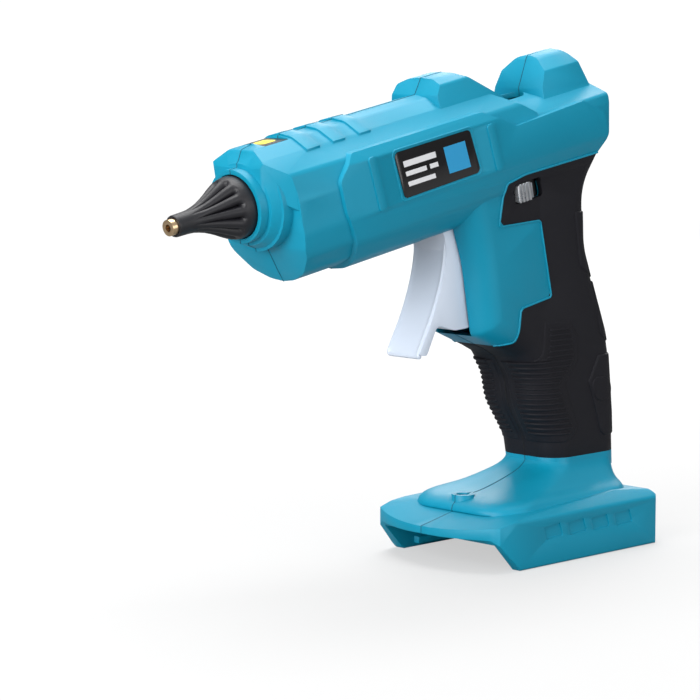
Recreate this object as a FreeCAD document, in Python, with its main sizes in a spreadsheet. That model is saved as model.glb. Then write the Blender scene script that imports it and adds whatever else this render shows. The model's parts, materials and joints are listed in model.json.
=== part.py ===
import FreeCAD, Part
import math
import os
from FreeCAD import Placement, Rotation, Vector

# Cordless hot-melt glue gun, millimetres, +Z up.
# The gun stands on its open battery foot, nozzle towards -X, handle and foot towards +X.
# X = 0 is the middle of the overall length, Y = 0 the moulding seam, Z = 0 the rail bottoms.
# "Barrel frame": s runs rearward along the barrel axis, y sideways, t away from the foot.

SIZES = [
    ("axis_x", 30.0, "barrel axis passes over this x at axis_height"),
    ("axis_height", 160.5, "height of the barrel axis over the rail bottoms"),
    ("barrel_tilt", 10.7, "nose-down tilt of the barrel, degrees"),
    ("wall", 2.0, "housing wall"),
    ("grip_skin", 2.0, "thickness of the overmoulded grip"),
    ("fit_gap", 0.3, "gap between pieces that move past each other"),
    ("barrel_front", -103.0, "front face of the barrel, s"),
    ("barrel_rear", 62.0, "rearmost point of the barrel, s"),
    ("panel_half_width", 22.5, "half width over the raised side panels"),
    ("collar_radius", 17.5, "outer collar ring"),
    ("collar_lip_radius", 13.1, "inner collar lip"),
    ("collar_lip_front", -114.0, "front of the inner collar lip, s"),
    ("boot_base_radius", 11.1, "flange of the silicone boot"),
    ("flute_count", 14.0, "grooves round the boot"),
    ("flute_radius", 1.15, "radius of one boot groove"),
    ("nozzle_front", -145.0, "front end of the brass nozzle, s"),
    ("nozzle_tip_radius", 2.85, "brass tip"),
    ("nozzle_orifice_radius", 1.3, "glue orifice"),
    ("nozzle_body_radius", 4.2, "nozzle shank inside the boot"),
    ("nozzle_rear", -106.5, "rear end of the nozzle, s"),
    ("boot_bore_radius", 7.6, "hollow of the boot at its base"),
    ("stick_radius", 5.6, "11.2 mm glue stick"),
    ("stick_bore_radius", 5.9, "bore that the stick runs in"),
    ("chamber_radius", 7.5, "outside of the melting chamber"),
    ("chamber_rear", -50.0, "rear end of the melting chamber, s"),
    ("sleeve_rear", -34.0, "rear end of the silicone inlet sleeve, s"),
    ("inlet_radius", 8.6, "outside of the rear stick guide"),
    ("inlet_front", 44.0, "front of the rear stick guide, s"),
    ("inlet_rear", 63.0, "rear of the stick guide, s"),
    ("pivot_s", -4.0, "trigger pivot, s"),
    ("pivot_t", -31.0, "trigger pivot, t"),
    ("pivot_radius", 2.0, "trigger pin"),
    ("running_gap", 0.05, "radial clearance of a running fit"),
    ("trigger_swing", 18.0, "trigger travel, degrees"),
    ("trigger_half_width", 8.3, "half width of the trigger blade"),
    ("arm_inside", 10.4, "inside face of the trigger arms, y"),
    ("arm_thickness", 2.4, "thickness of a trigger arm"),
    ("drive_pin_radius", 1.8, "pins on the sides of the carriage"),
    ("carriage_half_length", 8.0, "half length of the feed carriage"),
    ("carriage_half_width", 9.8, "half width of the feed carriage"),
    ("foot_half_width", 32.8, "half width over the battery rails"),
    ("bay_half_width", 28.6, "half width of the battery bay"),
    ("bay_height", 10.5, "height of the battery bay"),
    ("screw_radius", 1.45, "housing screw shank"),
    ("screw_head_radius", 2.9, "housing screw head"),
    ("boss_radius", 3.9, "screw boss"),
    ("label_sheet", 0.6, "thickness of a side label"),
    ("sticker_sheet", 0.3, "thickness of the top sticker"),
    ("lead_radius", 0.9, "insulated lead"),
    ("board_thickness", 1.6, "control board"),
    ("knob_travel", 5.0, "travel of the switch knob"),
]

doc = FreeCAD.newDocument("glue_gun")
sheet = doc.addObject("Spreadsheet::Sheet", "Dims")
for row, (alias, value, meaning) in enumerate(SIZES, start=1):
    sheet.set("A%d" % row, meaning)
    sheet.set("B%d" % row, str(value))
    sheet.setAlias("B%d" % row, alias)
doc.recompute()
nodes = {}


def size(alias):
    return float(sheet.get(alias))


AXIS_POINT = Vector(size("axis_x"), 0, size("axis_height"))
BARREL = Placement(AXIS_POINT, Rotation(Vector(0, 1, 0), -size("barrel_tilt")))
ALONG_AXIS = Rotation(Vector(0, 1, 0), 90)
ACROSS = Rotation(Vector(1, 0, 0), -90)


# ---------------------------------------------------------------- outlines and solids

def side(u, v):
    return Vector(u, 0, v)


def cross(u, v):
    return Vector(0, u, v)


def plan(u, v):
    return Vector(u, v, 0)


def outline(corners, lift):
    """Closed face through corners (u, v) or (u, v, radius), each corner rounded by an arc."""
    arcs = []
    for i, corner in enumerate(corners):
        before = corners[i - 1]
        after = corners[(i + 1) % len(corners)]
        here = lift(corner[0], corner[1])
        to_before = (lift(before[0], before[1]) - here).normalize()
        to_after = (lift(after[0], after[1]) - here).normalize()
        radius = corner[2] if len(corner) > 2 else 0
        if radius == 0:
            arcs.append((here, None, here))
            continue
        half = to_before.getAngle(to_after) / 2
        reach = radius / math.tan(half)
        middle = here + (to_before + to_after).normalize() * (radius / math.sin(half) - radius)
        arcs.append((here + to_before * reach, middle, here + to_after * reach))
    edges = []
    for i, (start, middle, end) in enumerate(arcs):
        if middle:
            edges.append(Part.Arc(start, middle, end).toShape())
        following = arcs[(i + 1) % len(arcs)][0]
        if (following - end).Length > 1e-6:
            edges.append(Part.makeLine(end, following))
    return Part.Face(Part.Wire(edges))


def shrunk(face, inset):
    return face.makeOffset2D(-inset, 2) if inset else face


def prism(face, direction, low, high):
    """Face in a plane through the origin, extruded from low to high along direction."""
    moved = face.translated(direction * low)
    return moved.extrude(direction * (high - low))


def side_prism(corners, half_width, inset=0):
    face = shrunk(outline(corners, side), inset)
    return prism(face, Vector(0, 1, 0), -half_width + inset, half_width - inset)


def cross_prism(corners, low, high, inset=0):
    face = shrunk(outline(corners, cross), inset)
    return prism(face, Vector(1, 0, 0), low + inset, high - inset)


def plan_prism(corners, low, high):
    return prism(outline(corners, plan), Vector(0, 0, 1), low, high)


def mirrored(half):
    """Both halves of an outline given by its corners on the +u side, from v top to bottom."""
    other = [(-corner[0],) + tuple(corner[1:]) for corner in reversed(half) if corner[0] > 0]
    return list(half) + other


def rod(radius, start, end):
    """Round bar from one point to another."""
    run = end - start
    return Part.makeCylinder(radius, run.Length, start, run)


def axis_rod(radius, low, high, y=0, height=0):
    return rod(radius, Vector(low, y, height), Vector(high, y, height))


def axis_cone(first, second, low, high):
    return Part.makeCone(first, second, high - low, Vector(low, 0, 0), Vector(1, 0, 0))


def block(x_low, x_high, y_low, y_high, z_low, z_high):
    corner = Vector(x_low, y_low, z_low)
    return Part.makeBox(x_high - x_low, y_high - y_low, z_high - z_low, corner)


def joined(*solids):
    whole = solids[0].fuse(list(solids[1:]))
    return whole.removeSplitter()


def largest(shape):
    return max(shape.Solids, key=lambda solid: solid.Volume)


def in_barrel(shape):
    copy = shape.copy()
    copy.Placement = BARREL.multiply(copy.Placement)
    return copy


def barrel_point(along, across, up):
    return BARREL.multVec(Vector(along, across, up))


def keep(label, shape, placement=Placement()):
    """Record a sub-part whose shape is set directly."""
    feature = doc.addObject("Part::Feature", label)
    feature.Label = label
    feature.Shape = shape
    feature.Placement = placement.multiply(feature.Placement)
    nodes[label] = feature
    return feature


def bind(feature, **formulas):
    for name, formula in formulas.items():
        feature.setExpression(name.replace("__", "."), formula)
    return feature


def cylinder(name, radius, length, rotation=Rotation(), **place):
    feature = doc.addObject("Part::Cylinder", name)
    feature.Placement.Rotation = rotation
    return bind(feature, Radius=radius, Height=length, **place)


def cone(name, first, second, length, **place):
    feature = doc.addObject("Part::Cone", name)
    feature.Placement.Rotation = ALONG_AXIS
    return bind(feature, Radius1=first, Radius2=second, Height=length, **place)


def box(name, length, width, height, **place):
    return bind(doc.addObject("Part::Box", name), Length=length, Width=width, Height=height, **place)


def fused(name, pieces):
    feature = doc.addObject("Part::MultiFuse", name)
    feature.Shapes = pieces
    return feature


def cut(name, base, tool):
    feature = doc.addObject("Part::Cut", name)
    feature.Base = base
    feature.Tool = tool
    return feature


def finish(label, feature, placement=Placement()):
    """Record a sub-part made of bound features, placed as a whole."""
    feature.Label = label
    feature.Placement = placement
    nodes[label] = feature
    return feature


def at_s(formula):
    return {"Placement__Base__x": formula}


# ---------------------------------------------------------------- outer skin of the housing

CORE = mirrored([(0, 19.8), (6, 18.8, 6), (12, 15.3, 2), (19.6, 9.6, 3), (21.0, 0, 12), (21.0, -12, 10),
                 (19, -20, 8), (13, -27, 8), (6, -30.2, 8), (0, -31.0)])
LOW_CORE = mirrored([(0, 9.6), (11, 7.6, 2), (20.4, 3.6, 2), (21.0, 0, 4), (21.0, -12, 10),
                     (19, -20, 8), (13, -27, 8), (6, -30.2, 8), (0, -31.0)])
PANEL = mirrored([(0, 11.5), (20.6, 11.5, 1), (22.5, 7.5, 2), (22.5, -12, 10),
                  (20.6, -21, 8), (14, -28.5, 8), (7, -31.8, 8), (0, -32.5)])
FIRST_HUMP = mirrored([(0, 25.2), (6, 24.9, 8), (11, 23.1, 1.5), (13.2, 12)])
SECOND_HUMP = mirrored([(0, 22), (5, 21.3, 6), (11, 16.6, 1.5), (13.6, 4)])
CORE_SIDE = [(-103, 5), (-103, 22), (-5, 22), (22, 4.5), (22, -40), (-96, -40), (-96, -33),
             (-98.7, -26.8, 5), (-102.2, -17.4, 6), (-103, -8)]
LOW_CORE_SIDE = [(10, 12), (62, 12), (62.5, 2, 4), (60, -12.5, 4), (52, -18.5, 3), (47, -33),
                 (10, -33)]
PANEL_SIDE = [(-75.5, 11.1, 2), (-84, 2.7, 4), (-82.8, -9.3, 12), (-72, -36), (44, -36), (49.5, -19, 2),
              (57.8, -12.6, 3), (57.5, -3, 3), (46, 4, 4), (7.8, 2.6, 4), (-8.2, 11.2, 4)]
FIRST_HUMP_SIDE = [(-20.8, 12), (-20.6, 19.6, 1.5), (-16.4, 25, 2), (-16.4, 27), (-7, 27),
                   (-4.5, 24.2, 4), (20, 7)]
SECOND_HUMP_SIDE = [(34, 4), (35.4, 11), (41.2, 20.5, 2), (44, 24), (54, 24), (57.5, 19.5, 2), (60.8, 8),
                    (62, 4)]
HOOD_SIDE = [(-99, 20), (-107.6, 18.7, 1.5), (-110.8, 13.1, 1.5), (-110.8, 4, 2), (-103, -3), (-99, -3)]
HOOD_PLAN = mirrored([(0, -110.8), (12, -110.8, 2), (20.6, -103, 2), (21, -99), (0, -99)])

HANDLE_SIDE = [(14, 137), (22.4, 113, 60), (27.2, 86.5, 3), (43.5, 79.5, 7), (49.5, 76.5, 5), (55.5, 68, 12),
               (57.5, 57, 20), (66.5, 43.5, 14), (68.6, 30), (108, 30), (105.8, 52, 60), (101.5, 80, 60),
               (84.5, 118, 26), (82.5, 140, 18), (92, 154), (60, 156)]
HANDLE_FRONT = [(15.2, 30), (20.6, 156), (-20.6, 156), (-15.2, 30)]
HANDLE_ROUND = 9.5


def handle(inset):
    """Side outline crossed with a tapered front outline, its long corners rounded."""
    softened = [corner[:2] + tuple(max(radius, inset + 3) for radius in corner[2:]) for corner in HANDLE_SIDE]
    outer = prism(shrunk(outline(softened, side), inset), Vector(0, 1, 0), -30, 30)
    taper = prism(shrunk(outline(HANDLE_FRONT, cross), inset), Vector(1, 0, 0), 0, 130)
    solid = outer.common(taper)
    rounding = HANDLE_ROUND - inset
    front_and_back = []
    for edge in solid.Edges:
        ends = [vertex.Point for vertex in edge.Vertexes]
        sideways = min(abs(point.y) for point in ends) > 5
        upright = abs(ends[0].z - ends[-1].z) > 0.5
        within = max(point.z for point in ends) < 155 - inset
        if sideways and upright and within:
            front_and_back.append(edge)
    return solid.makeFillet(rounding, front_and_back)


def barrel(inset):
    """Barrel skin in the barrel frame."""
    front = size("barrel_front")
    rear = size("barrel_rear")
    core = cross_prism(CORE, front, 22, inset).common(side_prism(CORE_SIDE, 40, inset))
    low = cross_prism(LOW_CORE, 10, rear + 1, inset).common(side_prism(LOW_CORE_SIDE, 40, inset))
    panel = cross_prism(PANEL, -90, rear, inset).common(side_prism(PANEL_SIDE, 40, inset))
    return core.fuse([low, panel])


def humps():
    first = cross_prism(FIRST_HUMP, -22, 22).common(side_prism(FIRST_HUMP_SIDE, 20))
    second = cross_prism(SECOND_HUMP, 32, 63).common(side_prism(SECOND_HUMP_SIDE, 20))
    return first.fuse(second)


def collar():
    plan_corners = [(y, x) + tuple(radius) for x, y, *radius in HOOD_PLAN]
    hood = side_prism(HOOD_SIDE, 25).common(plan_prism(plan_corners, -10, 30))
    hood = hood.common(cross_prism(CORE, -112, -98))
    ring = axis_rod(size("collar_radius"), -107.5, -100)
    step = axis_cone(14.6, 16.4, -110.5, -107.5)
    lip = axis_rod(size("collar_lip_radius"), size("collar_lip_front"), -106)
    return hood.fuse([ring, step, lip])


FOOT_SIDE = [(30, 0, 1), (112.4, 0, 1.5), (113, 3, 3), (108.6, 21.2, 2), (90, 22.5), (33, 19.8, 10),
             (9.8, 15.2, 1), (9.8, 12.4, 1), (18, 12.4, 1)]
FOOT_FRONT = mirrored([(0, 24), (26, 24), (27.2, 22.3, 1), (32.8, 18.6, 2), (32.8, 0, 1), (0, 0)])


def foot_plan(edge):
    """Plan of the foot: a bowed front lip between two straight sides, shrunk by edge."""
    side_y = size("foot_half_width") - edge
    front_y = 31.4 - edge
    nose = Part.Arc(Vector(20 + edge, front_y, 0), Vector(10.3 + edge, 0, 0), Vector(20 + edge, -front_y, 0))
    run = [Vector(20 + edge, -front_y, 0), Vector(28, -side_y, 0), Vector(108 - edge, -side_y, 0),
           Vector(115 - edge, -side_y + 7, 0), Vector(115 - edge, side_y - 7, 0), Vector(108 - edge, side_y, 0),
           Vector(28, side_y, 0), Vector(20 + edge, front_y, 0)]
    edges = [nose.toShape()] + [Part.makeLine(a, b) for a, b in zip(run, run[1:])]
    return Part.Face(Part.Wire(edges))


SADDLE = [(19.0, 27.0, 106.5, 27.0, 15), (22.0, 28.5, 106.0, 26.0, 15), (24.0, 36.0, 105.8, 23.6, 14),
          (26.5, 50.0, 105.8, 20.2, 13), (30.0, 62.0, 106.4, 17.0, 11), (35.0, 68.4, 106.6, 15.4, 9.5)]


def rounded_plan(height, x_front, x_rear, half_width, radius):
    corners = [(x_front, half_width, radius), (x_rear, half_width, radius),
               (x_rear, -half_width, radius), (x_front, -half_width, radius)]
    return outline(corners, lambda u, v: Vector(u, v, height)).OuterWire


def foot():
    body = side_prism(FOOT_SIDE, 40)
    body = body.common(prism(outline(FOOT_FRONT, cross), Vector(1, 0, 0), 0, 130))
    body = body.common(prism(foot_plan(0), Vector(0, 0, 1), -1, 40))
    saddle = Part.makeLoft([rounded_plan(*section) for section in SADDLE], True, False)
    return body.fuse(saddle)


GRIP_SIDE = [(33, 143.4, 4), (31, 127, 4), (53.9, 128.6, 2.5), (62, 99.2, 3), (45.2, 95.8, 5), (44.2, 83, 4),
             (38, 81.5), (30, 81.5), (40, 35.6), (120, 35.6), (120, 160), (84.8, 153.3), (43, 146.4, 5)]
SCREW_PLACES = [(-93.5, -19.5), (-40, -24.5), (28, -26)]
HANDLE_SCREWS = [(52, 91), (88.5, 92), (86, 46)]


def screw_points():
    """Screw axes as (x, z) points of the seam plane."""
    in_row = [barrel_point(along, 0, up) for along, up in SCREW_PLACES]
    return [(point.x, point.z) for point in in_row] + HANDLE_SCREWS


def screw_reach(skin, x, z):
    """Half width of the skin along a screw axis."""
    probe = Part.makeLine(Vector(x, 0, z), Vector(x, 40, z)).common(skin)
    return probe.BoundBox.YMax


def trigger_opening():
    """Slot that the trigger swings in, open to the front and below the barrel."""
    corners = [(8, 140), (0, 127), (12, 92), (22, 86), (46, 86, 3), (47, 128, 4), (40, 140)]
    return side_prism(corners, size("trigger_half_width") + 0.5)


LABEL = [(-57.1, 6.9, 2), (-17.4, 6.9, 2), (-14.1, -9.7, 2), (-54.4, -10.3, 2)]
PANEL_RIBS = [[(-70.0, 8, 1.4), (-66.2, 8, 1.4), (-63.6, -12, 1.4), (-67.4, -12, 1.4)],
              [(-8.6, 6.5, 1.4), (-4.8, 6.5, 1.4), (-2.2, -11.5, 1.4), (-6.0, -11.5, 1.4)]]
TOP_BANDS = [(-89.1, -82.8), (-76.3, -70.4), (-63.3, -57.7)]
STICKER = [(-102.0, 5.8, 1), (-90.0, 5.8, 1), (-90.0, -5.8, 1), (-102.0, -5.8, 1)]
SWITCH_T = -22.9
SWITCH_WINDOW = [(4.8, -19.1, 1.5), (19.0, -19.1, 1.5), (20.4, -26.7, 1.5), (4.8, -26.7, 1.5)]
FOOT_BOSS_X = 33.1
FOOT_BOSS_TOP = 24.7


def pivot():
    return barrel_point(size("pivot_s"), 0, size("pivot_t"))


def across_rod(radius, point, low, high):
    """Round bar parallel to Y through an (x, z) point."""
    return rod(radius, Vector(point.x, low, point.z), Vector(point.x, high, point.z))


def both_flanks(corners, low, high):
    """The same side outline raised or sunk on both flanks, as two solids."""
    face = outline(corners, side)
    return [prism(face, Vector(0, 1, 0), low, high), prism(face, Vector(0, 1, 0), -high, -low)]


def trim():
    """Raised bands over the barrel, ribs beside the labels and the split boss on the foot."""
    raised = outline(CORE, cross).makeOffset2D(0.7, 2)
    crown = block(-90, -57, -13.2, 13.2, 12, 22)
    pieces = []
    for low, high in TOP_BANDS:
        pieces.append(in_barrel(prism(raised, Vector(1, 0, 0), low, high).common(crown)))
    half = size("panel_half_width")
    for rib in PANEL_RIBS:
        pieces += [in_barrel(solid) for solid in both_flanks(rib, half - 1, half + 0.6)]
    pieces.append(rod(4.4, Vector(FOOT_BOSS_X, 0, 16), Vector(FOOT_BOSS_X, 0, FOOT_BOSS_TOP)))
    return pieces


def pin_bosses(skin):
    """Tubes inside both halves that hold the ends of the trigger pin."""
    point = pivot()
    left = across_rod(4.6, point, -24, -13.2)
    right = across_rod(4.6, point, 16.7, 24)
    return [piece.common(skin) for piece in (left, right)]


def openings(skin):
    """Cutting solids: mouths, slots, battery bay, sunk label seats and the foot's side recesses."""
    half = size("panel_half_width")
    bay_side = size("bay_half_width")
    rail = 2.6
    bay = block(-10, 107, -bay_side, bay_side, -5, size("bay_height"))
    rails = [block(36, 103, bay_side - rail, bay_side, 1.5, 4),
             block(36, 103, -bay_side, rail - bay_side, 1.5, 4)]
    boot_seat = axis_rod(size("boot_base_radius") + 0.35, -116, -109.4)
    mouth = axis_rod(10.2, -110, -95)
    rear_mouth = axis_rod(size("inlet_radius") + 0.1, 40, 70)
    slot_corner = 4.9
    slot = [(18.5, 5.2, slot_corner), (35.2, 5.2, slot_corner), (35.2, -5.2, slot_corner),
            (18.5, -5.2, slot_corner)]
    window = plan_prism(slot, 0, 20)
    switch = prism(outline(SWITCH_WINDOW, side), Vector(0, 1, 0), -30, -14)
    sheet_seats = both_flanks(LABEL, half - size("label_sheet") + 0.15, half + 3)
    sheet_seats.append(prism(outline(STICKER, plan), Vector(0, 0, 1), 18.55, 24))
    pin_hole = across_rod(size("pivot_radius") + 0.02, pivot(), -17.6, 19)
    screw_recess = rod(2.6, Vector(FOOT_BOSS_X, 0, 22.8), Vector(FOOT_BOSS_X, 0, 30))
    screw_hole = rod(1.3, Vector(FOOT_BOSS_X, 0, 14), Vector(FOOT_BOSS_X, 0, 24))
    recesses = []
    for index in range(4):
        x = 44 + 13.5 * index
        slab = [(x, 10.0, 0.6), (x + 9.5, 10.6, 0.6), (x + 7.5, 15.6, 0.6), (x - 1.5, 15.0, 0.6)]
        recesses += both_flanks(slab, size("foot_half_width") - 0.5, 40)
    in_frame = [boot_seat, mouth, rear_mouth, window, switch] + sheet_seats
    in_row = [bay.cut(rails), trigger_opening(), pin_hole, screw_recess, screw_hole] + recesses
    return [in_barrel(solid) for solid in in_frame] + in_row


def moulded_parts():
    """Housing shell, overmoulded grip and housing screws."""
    skin = joined(in_barrel(barrel(0)), in_barrel(humps()), in_barrel(collar()), handle(0), foot(), *trim())
    wall = size("wall")
    skin_depth = size("grip_skin")
    under_grip = joined(in_barrel(barrel(skin_depth)), handle(skin_depth))
    grip = skin.common(side_prism(GRIP_SIDE, 40)).cut(under_grip)
    grip = largest(grip)
    cavity = joined(in_barrel(barrel(wall)), handle(wall + 0.4), block(72, 100, -11, 11, 10, 40))
    shell = skin.cut(grip).cut(cavity)

    bosses = pin_bosses(skin)
    holes = openings(skin)
    screws = []
    for x, z in screw_points():
        reach = screw_reach(skin, x, z)
        head_low = reach - 4.6
        bosses.append(rod(size("boss_radius"), Vector(x, 1 - reach, z), Vector(x, reach - 1, z)))
        head = rod(size("screw_head_radius"), Vector(x, head_low, z), Vector(x, head_low + 2, z))
        shank = rod(size("screw_radius"), Vector(x, 3.5 - reach, z), Vector(x, head_low, z))
        screws.append(joined(head, shank))
        holes.append(rod(size("screw_radius") + 0.05, Vector(x, 3.5 - reach, z), Vector(x, head_low + 1, z)))
        holes.append(rod(size("screw_head_radius") + 0.2, Vector(x, head_low, z), Vector(x, reach + 3, z)))
    inside = skin.cut(grip)
    bosses = [boss.common(inside) for boss in bosses]
    shell = shell.fuse(bosses).cut(holes)
    grip = grip.cut(holes)
    left_half = block(-200, 200, -60, 0, -20, 250)
    right_half = block(-200, 200, 0, 60, -20, 250)
    keep("housing_left", largest(shell.common(left_half)))
    keep("housing_right", largest(shell.common(right_half)))
    keep("grip_left", largest(grip.common(left_half)))
    keep("grip_right", largest(grip.common(right_half)))
    keep("housing_screws", Part.makeCompound(screws))


# ---------------------------------------------------------------- labels, boss screw and pins

def labels():
    half = size("panel_half_width")
    thick = size("label_sheet")
    shrink = outline(LABEL, side).makeOffset2D(-0.12)
    seat = half - thick + 0.15
    keep("label_left", prism(shrink, Vector(0, 1, 0), -seat - thick, -seat), BARREL)
    keep("label_right", prism(shrink, Vector(0, 1, 0), seat, seat + thick), BARREL)
    top = outline(STICKER, plan).makeOffset2D(-0.12)
    keep("top_sticker", prism(top, Vector(0, 0, 1), 18.55, 18.55 + size("sticker_sheet")), BARREL)


def foot_screw():
    head = cylinder("foot_screw_head", "2.3", "1.2", Placement__Base__z="22.8")
    shank = cylinder("foot_screw_shank", "1.2", "7.8", Placement__Base__z="15.1")
    where = Placement(Vector(FOOT_BOSS_X, 0, 0), Rotation())
    finish("foot_screw", fused("foot_screw_shape", [head, shank]), where)


def trigger_pin():
    pin = cylinder("trigger_pin_shape", "Dims.pivot_radius", "36.4", ACROSS)
    point = pivot()
    finish("trigger_pin", pin, Placement(Vector(point.x, -17.5, point.z), ACROSS))


# ---------------------------------------------------------------- heating unit, in the barrel frame

def nozzle():
    """Turned brass nozzle with a fine orifice that opens into a tapered throat."""
    tip = cylinder("nozzle_tip", "Dims.nozzle_tip_radius", "6", ALONG_AXIS, **at_s("Dims.nozzle_front"))
    neck = cone("nozzle_cone", "Dims.nozzle_tip_radius", "Dims.nozzle_body_radius", "14",
                **at_s("Dims.nozzle_front + 5"))
    shank = cylinder("nozzle_shank", "Dims.nozzle_body_radius", "Dims.nozzle_rear - Dims.nozzle_front - 19",
                     ALONG_AXIS, **at_s("Dims.nozzle_front + 19"))
    orifice = cylinder("nozzle_orifice", "Dims.nozzle_orifice_radius", "8", ALONG_AXIS,
                       **at_s("Dims.nozzle_front - 1"))
    throat = cone("nozzle_throat", "Dims.nozzle_orifice_radius", "3.6", "30", **at_s("Dims.nozzle_front + 6.5"))
    body = fused("nozzle_body", [tip, neck, shank])
    bore = fused("nozzle_bore", [orifice, throat])
    finish("nozzle", cut("nozzle_shape", body, bore), BARREL)


BOOT_PROFILE = [(-140, 3.6), (-134.5, 4.2), (-129.5, 5.4), (-124.5, 7.6), (-120.2, 9.7),
                (-116.6, 10.9), (-115, 11.1), (-109.6, 11.1)]


def nozzle_boot():
    """Silicone boot: turned outside, round grooves that end in pockets short of the flange."""
    inside = [(-109.6, size("boot_bore_radius")), (-120, size("boot_bore_radius") - 2.2),
              (-133, size("nozzle_tip_radius") + 0.75), (-140, size("nozzle_tip_radius") + 0.05)]
    curve = Part.BSplineCurve()
    curve.interpolate([Vector(along, 0, radius) for along, radius in BOOT_PROFILE[:-1]])
    rest = [Vector(along, 0, radius) for along, radius in [BOOT_PROFILE[-2], BOOT_PROFILE[-1]] + inside]
    rest.append(Vector(BOOT_PROFILE[0][0], 0, BOOT_PROFILE[0][1]))
    edges = [curve.toShape()] + [Part.makeLine(a, b) for a, b in zip(rest, rest[1:])]
    solid = Part.Face(Part.Wire(edges)).revolve(Vector(), Vector(1, 0, 0), 360)
    start = Vector(-132.5, 0, 5.6)
    end = Vector(-118.0, 0, 10.9)
    groove = rod(size("flute_radius"), start, end).fuse(Part.makeSphere(size("flute_radius"), end))
    groove = groove.fuse(Part.makeSphere(size("flute_radius"), start))
    count = int(size("flute_count"))
    grooves = [groove.rotated(Vector(), Vector(1, 0, 0), 360 * index / count) for index in range(count)]
    keep("nozzle_boot", solid.cut(grooves), BARREL)


def melt_chamber():
    front = -109.3
    rear = size("chamber_rear")
    body = cylinder("chamber_tube", "Dims.chamber_radius", str(rear - front), ALONG_AXIS, **at_s(str(front)))
    pad = box("chamber_pad", "40", "14", "6.5", Placement__Base__x="-100",
              Placement__Base__y="-7", Placement__Base__z="-12")
    bore = cylinder("chamber_bore", "Dims.stick_bore_radius", str(rear + 101), ALONG_AXIS,
                    **at_s("-100"))
    taper = cone("chamber_taper", "3.6", "Dims.stick_bore_radius", "6.5", **at_s("-106.5"))
    seat = cylinder("chamber_seat", "Dims.nozzle_body_radius + Dims.running_gap", "4.6", ALONG_AXIS,
                    **at_s("-111"))
    pocket = box("heater_pocket", "39", "11", "2.4", Placement__Base__x="-98", Placement__Base__y="-5.5",
                 Placement__Base__z="-11")
    outside = fused("chamber_outside", [body, pad])
    inside = fused("chamber_inside", [bore, taper, seat, pocket])
    finish("melt_chamber", cut("chamber_shape", outside, inside), BARREL)
    heater = box("heater_plate", "33", "10.8", "2.2", Placement__Base__x="-97.5", Placement__Base__y="-5.4",
                 Placement__Base__z="-10.9")
    tail = box("heater_tail", "5", "8", "1.6", Placement__Base__x="-64.6", Placement__Base__y="-4",
               Placement__Base__z="-10.6")
    finish("ptc_heater", fused("heater_shape", [heater, tail]), BARREL)


def chamber_plate(low):
    """Insulating plate across the inside of the barrel, clear of the leads below it."""
    inside = outline(CORE, cross).makeOffset2D(-size("wall") - size("fit_gap"), 2)
    plate = prism(inside, Vector(1, 0, 0), low, low + 2.5)
    return plate.common(block(low - 1, low + 4, -30, 30, -11.8, 30))


def chamber_mounts():
    """Insulating plates that hold the chamber, the silicone sleeve, its clamp, the clip and the cut-out."""
    chamber = axis_rod(size("chamber_radius") + 0.05, -112, -40)
    pad = block(-101, -59, -7.1, 7.1, -12.1, -5)
    keep("front_plate", chamber_plate(-89).cut([chamber, pad]), BARREL)
    sleeve_radius = size("chamber_radius") + 1.7
    sleeve = axis_rod(sleeve_radius, -57, size("sleeve_rear"))
    tube_end = chamber.common(block(-112, size("chamber_rear"), -20, 20, -20, 20))
    sleeve = sleeve.cut([tube_end, axis_rod(size("stick_radius") + 0.1, -60, -30)])
    keep("inlet_sleeve", sleeve, BARREL)
    keep("rear_plate", chamber_plate(-54).cut(axis_rod(sleeve_radius + 0.05, -60, -40)), BARREL)
    clamp = axis_rod(sleeve_radius + 0.85, -47, -45).cut(axis_rod(sleeve_radius + 0.02, -48, -44))
    keep("sleeve_clamp", clamp, BARREL)
    clip = block(-82, -72, -8, 8, -13, -4.5).cut([block(-87, -70, -7.1, 7.1, -12.05, -4)])
    keep("heater_clip", clip, BARREL)
    fuse = axis_rod(1.7, -80, -70, 0, 9.7).fuse(axis_rod(0.5, -84, -66, 0, 9.7))
    keep("thermal_cutout", fuse.removeSplitter(), BARREL)


def stick_guide():
    """Black tube that carries the stick from the rear mouth to the carriage."""
    slim = cylinder("guide_slim", "7.1", "Dims.inlet_front - 20", ALONG_AXIS, **at_s("21"))
    thick = cylinder("guide_thick", "Dims.inlet_radius", "Dims.inlet_rear - Dims.inlet_front",
                     ALONG_AXIS, **at_s("Dims.inlet_front"))
    bore = cylinder("guide_bore", "Dims.stick_bore_radius", "60", ALONG_AXIS, **at_s("15"))
    lead_in = cone("guide_lead_in", "Dims.stick_bore_radius", "7.6", "2.4", **at_s("Dims.inlet_rear - 2.3"))
    outside = fused("guide_outside", [slim, thick])
    inside = fused("guide_inside", [bore, lead_in])
    finish("stick_guide", cut("guide_shape", outside, inside), BARREL)


# ---------------------------------------------------------------- trigger, carriage and jaw

TRIGGER_SIDE = [(0.3, 81.0, 1.2), (4.6, 80.6, 1.6), (10.2, 91.6, 3), (19.3, 88.9, 6), (28.2, 89.4, 3),
                (30.5, 104, 12), (37.6, 128, 4), (34, 134.5, 4), (26, 133, 4), (17, 127, 3),
                (10.8, 129.2, 1), (13.9, 123.6, 4), (14.9, 116, 12), (11.7, 104.5, 40), (6.5, 92.0, 40)]


def rest_carriage():
    """Centre of the carriage at rest, s; the arm leans back by half its swing."""
    return size("pivot_s") - size("pivot_t") * math.tan(math.radians(size("trigger_swing") / 2))


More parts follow.
